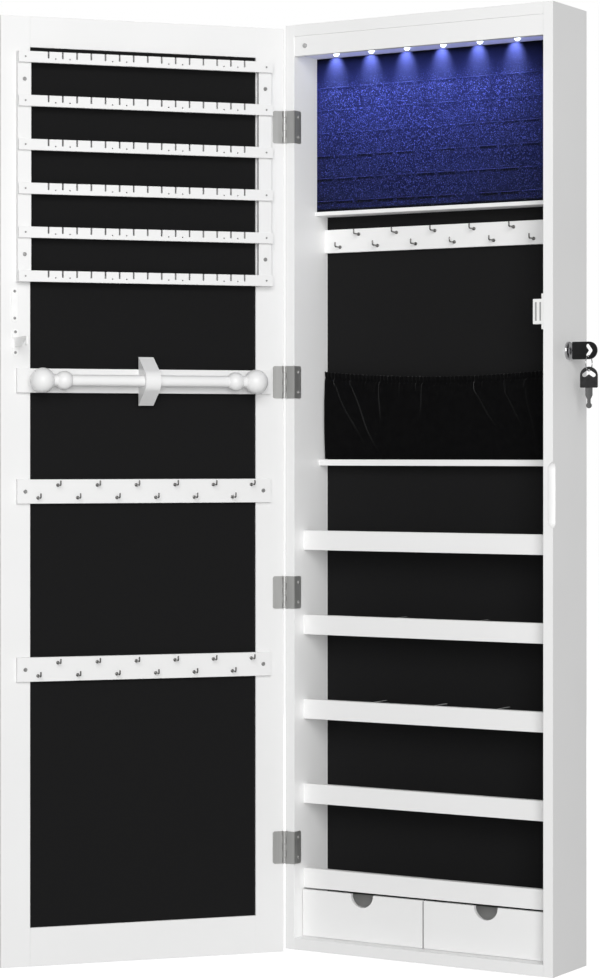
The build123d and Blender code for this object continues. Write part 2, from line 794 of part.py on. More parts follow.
def hinge_leaf(height, x_end, y0, y1):
    """The flat part of a leaf, from its knuckles to x_end."""
    root_x = hinge_x + hinge_knuckle_radius + hinge_clearance
    return block(root_x, x_end, y0, y1, height - hinge_length / 2, height + hinge_length / 2)


def cabinet_leaf(height):
    """The fixed leaf: over the panel's front edge, then back along its inner face."""
    face = front_y - hinge_leaf_thickness
    leaf = hinge_leaf(height, wrap_face, face, front_y)
    wrap = block(-inner_half, wrap_face, face, front_y + hinge_wrap_length,
                 height - hinge_length / 2, height + hinge_length / 2)
    wrap = fillet(wrap.edges().filter_by(Axis.X).group_by(Axis.Y)[-1], hinge_corner_radius)
    for piece in [wrap] + knuckles(height, 0, face, front_y):
        leaf = leaf + piece
    return leaf - hinge_screw_holes


def door_leaf(height):
    """The moving leaf, flat on the door's inner face."""
    face = door_face + hinge_leaf_thickness
    leaf = hinge_leaf(height, hinge_x + hinge_knuckle_radius + hinge_leaf_width, door_face, face)
    leaf = fillet(leaf.edges().filter_by(Axis.Y).group_by(Axis.X)[-1], hinge_corner_radius)
    for piece in knuckles(height, 1, door_face, face):
        leaf = leaf + piece
    return leaf


nodes["hinge_cabinet_leaves"] = group([cabinet_leaf(height) for height in hinge_heights])
nodes["hinge_pins"] = group([
    Pos(hinge_x, hinge_y, height) * Cylinder(hinge_pin_radius, hinge_length) for height in hinge_heights
])
nodes["hinge_door_leaves"] = open_door(group([door_leaf(height) for height in hinge_heights]))


# Door frame: two stiles and two rails with a lip that holds the mirror
def stile(side):
    """An upright of the door frame."""
    outer = side * half_width
    inner = side * opening_half
    body = board(min(outer, inner), max(outer, inner), door_back, door_face, door_bottom, door_top, Axis.Z)
    lip_end = inner - side * mirror_lip_width
    lip = block(inner, lip_end, door_back, door_back + mirror_lip_thickness, opening_bottom, opening_top)
    return body + lip


def rail(low, high, lip_low, lip_high):
    """A crosspiece of the door frame, between the stiles."""
    body = board(-opening_half, opening_half, door_back, door_face, low, high, Axis.X)
    half = opening_half - mirror_lip_width
    return body + block(-half, half, door_back, door_back + mirror_lip_thickness, lip_low, lip_high)


door_holes = rack_screw_holes + strip_screw_holes + plate_screw_holes
hinge_stile = stile(-1) - knuckle_notches(-half_width, door_back) - door_holes
nodes["door_hinge_stile"] = open_door(hinge_stile)
nodes["door_latch_stile"] = open_door(stile(1) - door_holes)
nodes["door_top_rail"] = open_door(rail(opening_top, door_top, opening_top - mirror_lip_width, opening_top))
nodes["door_bottom_rail"] = open_door(
    rail(door_bottom, opening_bottom, opening_bottom, opening_bottom + mirror_lip_width)
)
sheet_half = opening_half - fit_gap
sheet_low = opening_bottom + fit_gap
sheet_high = opening_top - fit_gap
mirror_y = door_back + mirror_lip_thickness
door_mirror = block(-sheet_half, sheet_half, mirror_y, mirror_y + mirror_thickness, sheet_low, sheet_high)
nodes["door_mirror"] = open_door(door_mirror)
door_lining = block(-sheet_half, sheet_half, mirror_y + mirror_thickness, door_face - door_lining_recess,
                    sheet_low, sheet_high)
nodes["door_lining"] = open_door(door_lining)

# Earring rack: slotted bars nailed across two posts
rack_bottom = rack_bar_heights[-1] - rack_bar_height / 2
posts = [
    board(side * rack_post_x - rack_post_width / 2, side * rack_post_x + rack_post_width / 2,
          door_face, rack_post_face, rack_bottom, rack_top, Axis.Z) - rack_screw_holes
    for side in (-1, 1)
]
nodes["earring_posts"] = open_door(group(posts))
rack_bar_face = rack_post_face + rack_bar_thickness


def rack_bar(z):
    """One bar: open slots for hooks, stud holes beside every other pair of slots, nail holes at the ends."""
    high = z + rack_bar_height / 2
    low = z - rack_bar_height / 2
    bar = board(-fitting_half, fitting_half, rack_post_face, rack_bar_face, low, high, Axis.X)
    slots = spread(rack_slots, rack_slot_pitch)
    half = rack_slot_width / 2
    cuts = [
        block(x - half, x + half, rack_post_face, rack_bar_face, high - rack_slot_depth, high) for x in slots
    ]
    for i, x in enumerate(slots[:-1]):
        if i % 4 < 2:
            place = (x + rack_slot_pitch / 2, high - stud_hole_drop)
            cuts.append(bar_along("y", rack_post_face, rack_bar_face, place, stud_hole_radius))
    for side in (-1, 1):
        place = (side * rack_post_x, z)
        cuts.append(bar_along("y", rack_post_face, rack_bar_face, place, rack_nail_radius + screw_hole_gap))
    return bar - cuts


nodes["earring_bars"] = open_door(group([rack_bar(z) for z in rack_bar_heights]))
nails = [
    bar_along("y", rack_post_face, rack_bar_face + rack_nail_proud, (side * rack_post_x, z), rack_nail_radius)
    for z in rack_bar_heights
    for side in (-1, 1)
]

# Bracelet rod
bracelet_z = lock_z - bracelet_below_lock
bracelet_strip = board(-fitting_half, fitting_half, door_face, strip_face, bracelet_z - strip_height / 2,
                       bracelet_z + strip_height / 2, Axis.X)
nodes["bracelet_strip"] = open_door(bracelet_strip)
nose_start = strip_face + bracket_nose_start
bracket_outline = Polyline(
    (nose_start, bracket_nose_half),
    (strip_face, bracket_height / 2),
    (strip_face, -bracket_height / 2),
    (nose_start, -bracket_nose_half),
)
bracket_nose = ThreePointArc(
    (nose_start, -bracket_nose_half),
    (strip_face + bracket_reach, 0),
    (nose_start, bracket_nose_half),
)
bracket = extrude(make_face(Plane.YZ * (bracket_outline + bracket_nose)), bracket_width / 2, both=True)
rod_y = strip_face + rod_above_strip
bracket = Pos(0, 0, bracelet_z) * bracket
rod_bore = bar_along("x", -bracket_width / 2, bracket_width / 2, (rod_y, bracelet_z), rod_radius + rod_fit)
nodes["bracelet_bracket"] = open_door(bracket - rod_bore)
ball_x = rod_length / 2 - rod_ball_radius
bead_x = ball_x - rod_bead_spacing
rod = bar_along("x", -ball_x, ball_x, (rod_y, bracelet_z), rod_radius)
for side in (-1, 1):
    rod = rod + Pos(side * ball_x, rod_y, bracelet_z) * Sphere(rod_ball_radius)
    rod = rod + Pos(side * bead_x, rod_y, bracelet_z) * Sphere(rod_bead_radius)
nodes["bracelet_rod"] = open_door(rod)

# Hook strips on the door
door_strips = []
door_hooks = []
for drop in door_strip_drops:
    z = door_top - drop
    strip = board(-fitting_half, fitting_half, door_face, strip_face, z - strip_height / 2,
                  z + strip_height / 2, Axis.X)
    door_strips.append(strip - strip_screw_holes)
    door_hooks += hook_row(fitting_half, strip_face, z, door_hook_pitch, 1)
nodes["door_hook_strips"] = open_door(group(door_strips))
nodes["door_hooks"] = open_door(group(door_hooks))

# Strike plate and lock tongue
plate_face = door_face + plate_thickness
strike_reach = (strike_height - strike_width) / 2
strike = capsule((strike_x, strike_z - strike_reach), (strike_x, strike_z + strike_reach), strike_width / 2,
                 door_face, plate_face)
nodes["strike_plate"] = open_door(strike - plate_screw_holes)
tongue_half = tongue_height / 2
plate_reach = (tongue_plate_height - tongue_plate_width) / 2
plate = capsule((tongue_x, tongue_z - plate_reach), (tongue_x, tongue_z + plate_reach),
                tongue_plate_width / 2, door_face, plate_face)
window_x = tongue_x + tongue_thickness / 2
window = block(window_x, window_x + tongue_window_width, door_face, plate_face,
               tongue_z - tongue_half, tongue_z + tongue_half)
tongue = block(tongue_x - tongue_thickness / 2, tongue_x + tongue_thickness / 2, door_face,
               door_face + tongue_length, tongue_z - tongue_half, tongue_z + tongue_half)
tongue_end = tongue.edges().filter_by(Axis.X).group_by(Axis.Y)[-1]
tongue = fillet(tongue_end, tongue_thickness)
cam_reach = cam_length + tongue_slot_margin
cam_sweep = bar_along("x", tongue_x - tongue_thickness, tongue_x + tongue_thickness,
                      (lock_y, lock_z), cam_reach)
hook_front = lock_y + cam_half_width + tongue_slot_margin
tongue_hook = block(tongue_x - tongue_thickness, tongue_x + tongue_thickness, hook_front,
                    lock_y + cam_reach, lock_z, lock_z + cam_reach)
cam_notch = cam_sweep - tongue_hook
nodes["lock_tongue"] = open_door(plate - window + tongue - cam_notch - plate_screw_holes)

nodes["door_screws"] = open_door(group(
    [screw(place) for place in rack_screws + strip_screws]
    + [screw(place, small_screw_scale) for place in tongue_screws + strike_screws]
    + nails
))

os.makedirs("parts", exist_ok=True)
for name, shape in nodes.items():
    export_step(shape, f"parts/{name}.step")
print(len(nodes), "nodes")
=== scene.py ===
import json
import math
import random

import bmesh
import bpy
from mathutils import Euler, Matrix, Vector, noise


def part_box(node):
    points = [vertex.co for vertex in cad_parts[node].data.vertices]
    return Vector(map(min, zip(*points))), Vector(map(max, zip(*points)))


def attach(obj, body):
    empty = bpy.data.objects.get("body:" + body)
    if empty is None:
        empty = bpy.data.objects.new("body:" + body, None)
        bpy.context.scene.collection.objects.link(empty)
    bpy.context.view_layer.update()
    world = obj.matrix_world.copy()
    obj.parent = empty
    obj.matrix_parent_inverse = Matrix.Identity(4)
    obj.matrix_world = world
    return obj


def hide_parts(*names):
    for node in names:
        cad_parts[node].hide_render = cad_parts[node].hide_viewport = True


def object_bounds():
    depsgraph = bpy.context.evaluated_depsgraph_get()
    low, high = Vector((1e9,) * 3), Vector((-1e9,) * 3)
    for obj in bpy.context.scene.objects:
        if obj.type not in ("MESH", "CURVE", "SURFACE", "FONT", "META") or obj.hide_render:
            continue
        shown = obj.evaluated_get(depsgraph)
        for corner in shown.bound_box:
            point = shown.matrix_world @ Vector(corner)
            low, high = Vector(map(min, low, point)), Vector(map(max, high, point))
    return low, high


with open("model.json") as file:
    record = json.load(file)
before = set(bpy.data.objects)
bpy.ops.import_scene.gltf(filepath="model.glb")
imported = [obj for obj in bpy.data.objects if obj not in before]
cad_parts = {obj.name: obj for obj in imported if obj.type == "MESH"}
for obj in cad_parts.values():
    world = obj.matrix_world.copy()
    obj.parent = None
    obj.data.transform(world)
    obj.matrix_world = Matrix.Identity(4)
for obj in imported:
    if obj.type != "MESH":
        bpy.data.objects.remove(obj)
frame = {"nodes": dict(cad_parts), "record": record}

cad_low, cad_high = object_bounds()
nodes = frame["nodes"]
MM = 0.001
WHITE = (1, 1, 1, 1)

# Picture and camera: the photograph's frame, with its optical axis left of the middle
picture_width = 600
picture_height = 979
focal_pixels = 2809.4
axis_column = 170.0
axis_row = 451.2
camera_place = Vector((1.6596, -3.2543, 0.0469))
camera_yaw = math.radians(32.74)
sensor_width = 36.0

# Floor, and ambient light that is stronger from below and changes over a band around the horizon
floor_drop = 60 * MM
floor_reach = 14.0
floor_glow = 0.72
ambient_below = 0.50
ambient_above = 0.32
ambient_band = 0.35

# Studio lamps: the key, a fill for the left side panel alone, and a fill from behind
key_lamp = {"place": (2.0, -3.4, 1.0), "target": (0, -0.1, 0), "size": (2.4, 2.6), "power": 124}
wall_lamp = {"place": (1.2, -0.25, 0.2), "target": (-0.18, -0.05, 0.1), "size": (0.4, 1.4), "power": 4.5}
back_lamp = {"place": (-2.2, 2.6, 1.2), "target": (0, 0, 0), "size": (2.0, 2.4), "power": 30}

# Blue lamps over the ring cushion: a cone under each lens, a glow on the cushion and one on the light board
led_count = 6
led_blue = (0.19, 0.24, 1.0)
led_pale = (0.30, 0.36, 1.0)
led_cone_gap = 10 * MM
led_cone_lift = 3 * MM
led_cone_lean = 18 * MM
led_cone_angle = math.radians(86)
led_cone_power = 170.0
led_cone_radius = 2 * MM
led_glow_gap = 55 * MM
led_glow_drop = 2 * MM
led_glow_shift = 40 * MM
led_glow_size = (0.30, 0.012)
led_glow_power = 11.0
led_board_gap = 30 * MM
led_board_size = (0.33, 0.03)
led_board_power = 0.045

# Ring cushion: a flat foam pad, its mesh and its soft edges
cushion_columns = 300
cushion_row_step = 2.0 * MM
cushion_fine_step = 0.45 * MM
cushion_fine_reach = 2.5
cushion_edge_round = 1.5 * MM
cushion_inset = 1.2 * MM
cushion_wobble = 0.35 * MM
cushion_wobble_scale = 16
cushion_wobble_seed = 3.1

# Rows of slits in the cushion, each with a lip below it, which part more in some places than in others
slit_count = 6
slit_rise = 14.3 * MM
slit_pitch = 29.7 * MM
slit_length = 25.0 * MM
slit_end_inside = 2 * MM
slit_end_outside = 1 * MM
slit_depth = 1.6 * MM
slit_half = 0.45 * MM
slit_lip = 1.7 * MM
slit_lip_reach = 1.3 * MM
slit_least_parted = 0.15
slit_parting_range = (-0.45, 0.35)
slit_parting_scale = 9
slit_cell_seed = 0.83
slit_row_seed = 7.3
slit_parting_seed = 0.5

# Velvet on the cushion: dark ground, pile, and tips with a painted highlight, bright bluish glints that stand
# in for the light they catch, below a smooth band at the top
velvet_ground = (0.0021, 0.0024, 0.0040)
velvet_pile = (0.0055, 0.0063, 0.0100)
# Painted highlight: the bright glint colour of the pile tips
velvet_painted_glint = (0.042, 0.048, 0.068)
velvet_band_gap = 8 * MM
velvet_band_below = 14 * MM
velvet_band_above = 16 * MM
# Share of the painted glints left on the smooth band
velvet_band_painted_glint_share = 0.06

# Pouch: the thickness of its cloth, and its mesh
pouch_cloth = 0.8 * MM
pouch_columns = 520
pouch_rows = 72

# How far the pouch stands off the back, with a belly and loose swells, and where its sides draw in
pouch_stand = 10.5 * MM
pouch_front_room = 0.6 * MM
pouch_bulge = 3.0 * MM
pouch_bulge_power = 0.8
pouch_loose = 1.5 * MM
pouch_loose_scale_u = 7
pouch_loose_scale_v = 1.6
pouch_loose_seed = 5.2
pouch_side_range = (-0.012, 0.010)

# Heights of the pouch: its foot, what it stays short of, the ruffle over the elastic, the sag of the hem
pouch_foot = 0.5 * MM
pouch_trim = 1.4 * MM
pouch_ruffle_rise = 5.0 * MM
pouch_sag = 9.0 * MM
pouch_sag_power = 0.8

# Gathers along the hem, and the groove of the elastic
pouch_hem = 8.0 * MM
gather_count = 62
gather_fade = 0.16
gather_at_hem = 0.45
gather_depth = 1.15 * MM
gather_rise = 0.5 * MM
gather_wander = 2.6
gather_wander_scale = 13
gather_wander_seed = 1.7
gather_mean = 0.75
gather_uneven = 0.5
gather_uneven_scale = 21
gather_uneven_seed = 4.1
elastic_depth = 1.6 * MM
elastic_half = 0.014

# Folds of the pouch sway a little, widen on the way down, and fade in and out. Heights are in millimetres
fold_seed = 11
fold_sway = 0.004
fold_sway_turn = 9
fold_sway_shift = 40
fold_widening = 0.8
fold_fade_in = (0.03, 0.12)
fold_fade_out = 0.55
long_fold_heights = (2.8, 3.8)
long_fold_widths = (0.006, 0.009)
short_fold_count = 14
short_fold_margin = 0.15
short_fold_spread = 0.7
short_fold_reaches = (0.18, 0.42)
short_fold_leans = (-0.04, 0.06)
short_fold_heights = (0.8, 1.8)
short_fold_width = 0.006
# Long folds: start along the hem, straight share of the drop, lean after it, share of the drop they reach
long_folds = [
    (0.035, 0.00, 0.18, 0.95),
    (0.125, 0.12, 0.15, 1.10),
    (0.246, 0.00, 0.01, 0.70),
    (0.425, 0.00, -0.02, 0.60),
    (0.632, 0.16, 0.22, 0.80),
    (0.757, 0.22, 0.19, 0.80),
    (0.838, 0.10, 0.06, 1.05),
]

# Places of a noise's usual low and high, and the mix node's sockets for colours
NOISE_LOW = 0.3
NOISE_HIGH = 0.7
MIX_FIRST = 6
MIX_SECOND = 7
MIX_RESULT = 2


# Materials
class Surface:
    """A material built from nodes around one principled shader."""

    def __init__(self, name, **sockets):
        self.material = bpy.data.materials.new(name)
        self.material.use_nodes = True
        self.tree = self.material.node_tree
        self.shader = self.tree.nodes["Principled BSDF"]
        for socket, value in sockets.items():
            self.shader.inputs[socket.replace("_", " ")].default_value = value

    def link(self, output, target):
        self.tree.links.new(output, target)

    def place(self, stretch=(1, 1, 1)):
        """Object coordinates in metres, stretched along the axes."""
        coordinates = self.tree.nodes.new("ShaderNodeTexCoord")
        mapping = self.tree.nodes.new("ShaderNodeMapping")
        mapping.inputs["Scale"].default_value = stretch
        self.link(coordinates.outputs["Object"], mapping.inputs["Vector"])
        return mapping.outputs["Vector"]

    def noise(self, scale, detail=3.0, roughness=0.5, stretch=(1, 1, 1)):
        texture = self.tree.nodes.new("ShaderNodeTexNoise")
        texture.inputs["Scale"].default_value = scale
        texture.inputs["Detail"].default_value = detail
        texture.inputs["Roughness"].default_value = roughness
        self.link(self.place(stretch), texture.inputs["Vector"])
        return texture.outputs["Fac"]

    def cells(self, scale):
        texture = self.tree.nodes.new("ShaderNodeTexVoronoi")
        texture.inputs["Scale"].default_value = scale
        self.link(self.place(), texture.inputs["Vector"])
        return texture.outputs["Distance"]

    def wave(self, scale, direction, distortion):
        texture = self.tree.nodes.new("ShaderNodeTexWave")
        texture.bands_direction = direction
        texture.inputs["Scale"].default_value = scale
        texture.inputs["Distortion"].default_value = distortion
        self.link(self.place(), texture.inputs["Vector"])
        return texture.outputs["Fac"]

    def ramp(self, factor, *stops):
        """Colours or grey levels along a factor, as (place, value) stops."""
        node = self.tree.nodes.new("ShaderNodeValToRGB")
        elements = node.color_ramp.elements
        for i, (place, value) in enumerate(stops):
            element = elements[i] if i < 2 else elements.new(place)
            element.position = place
            grey = not hasattr(value, "__len__")
            element.color = (value, value, value, 1) if grey else (*value, 1)
        self.link(factor, node.inputs["Fac"])
        return node.outputs["Color"]

    def between(self, factor, low, high):
        """Two colours or grey levels at a noise's usual low and high."""
        return self.ramp(factor, (NOISE_LOW, low), (NOISE_HIGH, high))

    def along_z(self, low, high):
        """A factor that rises from 0 to 1 between two heights."""
        parts = self.tree.nodes.new("ShaderNodeSeparateXYZ")
        self.link(self.place(), parts.inputs["Vector"])
        spread = self.tree.nodes.new("ShaderNodeMapRange")
        spread.inputs["From Min"].default_value = low
        spread.inputs["From Max"].default_value = high
        self.link(parts.outputs["Z"], spread.inputs["Value"])
        return spread.outputs["Result"]

    def facing_up(self):
        """1 on faces that look up, 0 on upright ones."""
        geometry = self.tree.nodes.new("ShaderNodeNewGeometry")
        parts = self.tree.nodes.new("ShaderNodeSeparateXYZ")
        self.link(geometry.outputs["Normal"], parts.inputs["Vector"])
        return parts.outputs["Z"]

    def combine(self, operation, first, second):
        node = self.tree.nodes.new("ShaderNodeMath")
        node.operation = operation
        self.link(first, node.inputs[0])
        self.link(second, node.inputs[1])
        return node.outputs["Value"]

    def scale(self, first, second):
        return self.combine("MULTIPLY", first, second)

    def sum(self, first, second):
        return self.combine("ADD", first, second)

    def mix(self, factor, first, second):
        node = self.tree.nodes.new("ShaderNodeMix")
        node.data_type = "RGBA"
        self.link(factor, node.inputs["Factor"])
        self.link(first, node.inputs[MIX_FIRST])
        self.link(second, node.inputs[MIX_SECOND])
        return node.outputs[MIX_RESULT]

    def colour(self, output):
        self.link(output, self.shader.inputs["Base Color"])

    def rough(self, output):
        self.link(output, self.shader.inputs["Roughness"])

    def bump(self, height, strength, distance):
        """Raises the surface by a height map, and hands the surface back."""
        node = self.tree.nodes.new("ShaderNodeBump")
        node.inputs["Strength"].default_value = strength
        node.inputs["Distance"].default_value = distance
        self.link(height, node.inputs["Height"])
        self.link(node.outputs["Normal"], self.shader.inputs["Normal"])
        return self


def white_lacquer():
    """Satin lacquer: faint orange peel, slight unevenness in colour and gloss."""
    s = Surface("white_lacquer", Specular_IOR_Level=0.4, Coat_Weight=0.12, Coat_Roughness=0.25)
    s.colour(s.between(s.noise(5, 4), (0.835, 0.835, 0.832), (0.865, 0.865, 0.863)))
    s.rough(s.between(s.noise(45, 3), 0.36, 0.46))
    return s.bump(s.sum(s.noise(850, 2), s.noise(210, 2)), strength=0.10, distance=0.25 * MM)


def flock(name, dark, light, sheen):
    """Short pile or lining: mottled, matt, with a little sheen."""
    s = Surface(name, Specular_IOR_Level=0.12, Sheen_Weight=sheen, Sheen_Roughness=0.5)
    mottle = s.sum(s.noise(2600, 2), s.noise(60, 4))
    s.colour(s.ramp(mottle, (0.35, dark), (0.75, light)))
    s.rough(s.between(s.noise(300, 2), 0.92, 1.0))
    return s.bump(s.noise(2300, 3, 0.7), strength=0.5, distance=0.4 * MM)


def ring_velvet():
    """Dark velvet: pile tips carry painted glints, fine bright speckles in the colour that stand in for the
    light they catch, except on the smooth band at the top.
    """
    s = Surface("ring_velvet", Specular_IOR_Level=0.03, Sheen_Weight=0.01, Sheen_Roughness=0.4)
    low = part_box("ring_cushion")[0]
    band = low.z + slit_rise + (slit_count - 1) * slit_pitch + velvet_band_gap
    rise = s.along_z(band - velvet_band_below, band + velvet_band_above)
    # Painted highlight: bright glint speckles, thinned out on the smooth band
    speckle_and_painted_glints = s.ramp(s.noise(860, 2, 0.65), (0.42, 0.0), (0.57, 0.28), (0.67, 1.0))
    pile = s.scale(speckle_and_painted_glints, s.ramp(rise, (0.0, 1.0), (1.0, velvet_band_painted_glint_share)))
    # pile holds the pile's own mottle and the painted glints; the ramp's top stop is the painted glint colour
    s.colour(s.ramp(pile, (0.0, velvet_ground), (0.35, velvet_pile), (1.0, velvet_painted_glint)))
    s.rough(s.ramp(s.noise(900, 2), (0.35, 0.70), (0.7, 0.98)))
    return s.bump(s.noise(950, 3, 0.7), strength=0.6, distance=0.6 * MM)


def black_weave():
    """Plain black weave of the pouch."""
    s = Surface("pouch_cloth", Specular_IOR_Level=0.06, Sheen_Weight=0.22, Sheen_Roughness=0.30)
    s.colour(s.between(s.noise(140, 4), (0.0016, 0.0016, 0.0018), (0.0030, 0.0030, 0.0032)))
    s.rough(s.between(s.noise(500, 2), 0.80, 0.94))
    threads = s.sum(s.wave(1100, "X", 0.4), s.wave(1100, "Z", 0.4))
    return s.bump(threads, strength=0.2, distance=0.2 * MM)


def divider_board():
    """Thin uprights lined in black, coloured white on the faces that look up."""
    s = Surface("divider_board", Specular_IOR_Level=0.25)
    black = s.ramp(s.noise(1800, 2), (0.35, (0.010, 0.010, 0.011)), (0.7, (0.017, 0.017, 0.018)))
    white = s.between(s.noise(60, 3), (0.70, 0.70, 0.69), (0.78, 0.78, 0.77))
    s.colour(s.mix(s.ramp(s.facing_up(), (0.5, 0.0), (0.8, 1.0)), black, white))
    s.rough(s.between(s.noise(300, 2), 0.72, 0.92))
    return s.bump(s.noise(1500, 3, 0.7), strength=0.25, distance=0.3 * MM)


def brushed(name, dark, light, rough, stretch, metallic=1.0):
    """Metal with fine brush lines along one direction, and a range of roughness."""
    s = Surface(name, Metallic=metallic)
    s.colour(s.between(s.noise(60, 4, 0.6, stretch), dark, light))
    s.rough(s.between(s.noise(90, 3, 0.6, stretch), *rough))
    return s.bump(s.noise(120, 2, 0.5, stretch), strength=0.12, distance=0.1 * MM)


def moulded(name, dark, light, rough, gloss=0.45):
    """Moulded plastic or enamel with a fine grain, and a range of roughness."""
    s = Surface(name, Specular_IOR_Level=gloss)
    s.colour(s.between(s.noise(70, 3), dark, light))
    s.rough(s.between(s.noise(260, 2), *rough))
    return s.bump(s.noise(1600, 2), strength=0.15, distance=0.15 * MM)


def mirror_glass():
    """Silvered glass with a trace of unevenness."""
    s = Surface("mirror_glass", Metallic=1.0)
    s.colour(s.between(s.noise(3, 2), (0.86, 0.88, 0.88), (0.90, 0.915, 0.91)))
    s.rough(s.between(s.noise(8, 2), 0.012, 0.03))
    return s.bump(s.noise(6, 1), strength=0.02, distance=0.2 * MM)


def fibreboard():
    """Bare pressed board on the cabinet's back: tan, flecked with fibres."""
    s = Surface("back_board", Specular_IOR_Level=0.25)
    fibres = s.sum(s.noise(700, 4, 0.7, (1, 1, 0.25)), s.noise(90, 4))
    s.colour(s.ramp(fibres, (0.6, (0.30, 0.215, 0.135)), (1.0, (0.47, 0.36, 0.245))))
    s.rough(s.between(s.noise(200, 3), 0.68, 0.85))
    return s.bump(fibres, strength=0.25, distance=0.3 * MM)


def lamp_lens():
    """Clear dome lit from inside by a cool lamp."""
    s = Surface("lamp_lens", Emission_Strength=6.0, Emission_Color=(0.72, 0.84, 1.0, 1),
                Specular_IOR_Level=0.6)
    s.colour(s.between(s.noise(900, 2), (0.70, 0.80, 0.95), (0.80, 0.88, 1.0)))
    s.rough(s.between(s.noise(1200, 2), 0.08, 0.16))
    return s.bump(s.cells(1400), strength=0.05, distance=0.1 * MM)


def cell_sleeve():
    """Wrapped battery sleeve: dark body with a paler end band."""
    s = Surface("cell_sleeve", Metallic=0.3, Specular_IOR_Level=0.5)
    s.colour(s.ramp(s.wave(9, "Y", 0.2), (0.35, (0.02, 0.025, 0.022)), (0.75, (0.30, 0.22, 0.10))))
    s.rough(s.between(s.noise(200, 2), 0.28, 0.40))
    return s.bump(s.noise(900, 2), strength=0.05, distance=0.1 * MM)


# Finishes by slot: dark and light colour, then sheen, or roughness range, brush direction and metal share
UPRIGHT = (1, 1, 0.04)
EVEN = (1, 1, 1)
OFF_WHITE = ((0.80, 0.80, 0.79), (0.86, 0.86, 0.85))
# A whiter copy of the white enamel, as painted light: it makes the strike plate and tongue look more strongly
# lit
PAINTED_LIGHT_WHITE = ((0.91, 0.91, 0.905), (0.95, 0.95, 0.945))
materials = {
    "white_lacquer": white_lacquer(),
    "back_board": fibreboard(),
    "black_lining": flock("black_lining", (0.0052, 0.0052, 0.0054), (0.0090, 0.0090, 0.0093), 0.04),
    "drawer_box": flock("drawer_box", (0.68, 0.68, 0.67), (0.76, 0.76, 0.75), 0.02),
    "ring_velvet": ring_velvet(),
    "pouch_cloth": black_weave(),
    "mirror_glass": mirror_glass(),
    "satin_nickel": brushed("satin_nickel", (0.40, 0.40, 0.39), (0.54, 0.54, 0.53), (0.34, 0.48), UPRIGHT,
                            metallic=0.6),
    "dark_nickel": brushed("dark_nickel", (0.13, 0.128, 0.125), (0.24, 0.237, 0.23), (0.22, 0.34), UPRIGHT),
    "bright_chrome": brushed("bright_chrome", (0.46, 0.46, 0.47), (0.60, 0.60, 0.61), (0.07, 0.15), EVEN),
    "zinc_steel": brushed("zinc_steel", (0.06, 0.06, 0.062), (0.11, 0.11, 0.113), (0.26, 0.38), UPRIGHT),
    "white_metal": moulded("white_metal", *OFF_WHITE, (0.30, 0.42)),
    "white_plastic": moulded("white_plastic", *OFF_WHITE, (0.38, 0.52)),
    "key_plastic": moulded("key_plastic", (0.006, 0.006, 0.0065), (0.011, 0.011, 0.0115), (0.42, 0.55),
                           gloss=0.16),
    "lamp_lens": lamp_lens(),
    "cell_sleeve": cell_sleeve(),
}

# Pieces whose finish differs from their slot's
own_materials = {
    "dividers": divider_board(),
    "door_screws": brushed("screw_steel", (0.28, 0.28, 0.28), (0.42, 0.42, 0.41), (0.24, 0.36), UPRIGHT),
    "spare_key_blade": brushed("key_steel", (0.05, 0.05, 0.05), (0.08, 0.08, 0.08), (0.45, 0.60), UPRIGHT,
                               metallic=0.15),
    # Strike plate and tongue in the whiter enamel: painted light
    "strike_plate": moulded("strike_enamel_painted_light", *PAINTED_LIGHT_WHITE, (0.28, 0.40)),
    "lock_tongue": moulded("tongue_enamel_painted_light", *PAINTED_LIGHT_WHITE, (0.28, 0.40)),
    "light_button": moulded("button_plastic", (0.36, 0.36, 0.36), (0.44, 0.44, 0.44), (0.36, 0.48)),
    "catch_poles": brushed("pole_steel", (0.36, 0.36, 0.36), (0.46, 0.46, 0.46), (0.34, 0.46), UPRIGHT,
                           metallic=0.5),
}

for part in frame["record"]["subparts"]:
    name = part["node"]
    surface = own_materials.get(name, materials[part["material_slot"]])
    nodes[name].data.materials.clear()
    nodes[name].data.materials.append(surface.material)


# Mesh helpers
def add_object(name, mesh_data, slot):
    """A new piece in the scene with a slot's material."""
    piece = bpy.data.objects.new(name, mesh_data)
    bpy.context.scene.collection.objects.link(piece)
    mesh_data.materials.append(materials[slot].material)
    return piece


def grid_mesh(name, points, closed_back=None):
    """A quad grid from rows of points. With closed_back, a flat back at that y closes it into a solid."""
    mesh = bmesh.new()
    rows = [[mesh.verts.new(point) for point in row] for row in points]
    for lower, upper in zip(rows, rows[1:]):
        for i in range(len(lower) - 1):
            mesh.faces.new((lower[i], lower[i + 1], upper[i + 1], upper[i]))
    if closed_back is not None:
        right_side = [row[-1] for row in rows[1:]]
        left_side = [row[0] for row in rows[-2:0:-1]]
        border = rows[0] + right_side + rows[-1][-2::-1] + left_side
        behind = [mesh.verts.new((v.co.x, closed_back, v.co.z)) for v in border]
        for i in range(len(border)):
            j = (i + 1) % len(border)
            mesh.faces.new((border[j], border[i], behind[i], behind[j]))
        mesh.faces.new(behind[::-1])
    bmesh.ops.recalc_face_normals(mesh, faces=mesh.faces)
    data = bpy.data.meshes.new(name)
    mesh.to_mesh(data)
    mesh.free()
    data.shade_smooth()
    return data


def smooth_step(low, high, value):
    """0 up to low, 1 from high on, and a smooth rise between them."""
    t = min(1.0, max(0.0, (value - low) / (high - low)))
    return t * t * (3 - 2 * t)


def noise_at(x, y, z):
    return noise.noise(Vector((x, y, z)))


# Ring cushion: a flat velvet pad, with soft edges and slits whose lips part here and there
def cushion_heights(low, high, slits):
    """Row heights, close together around each slit."""
    heights = [low]
    while heights[-1] < high:
        near = min(abs(heights[-1] - slit) for slit in slits)
        step = cushion_fine_step if near < cushion_fine_reach * slit_lip_reach else cushion_row_step
        heights.append(min(high, heights[-1] + step))
    return heights


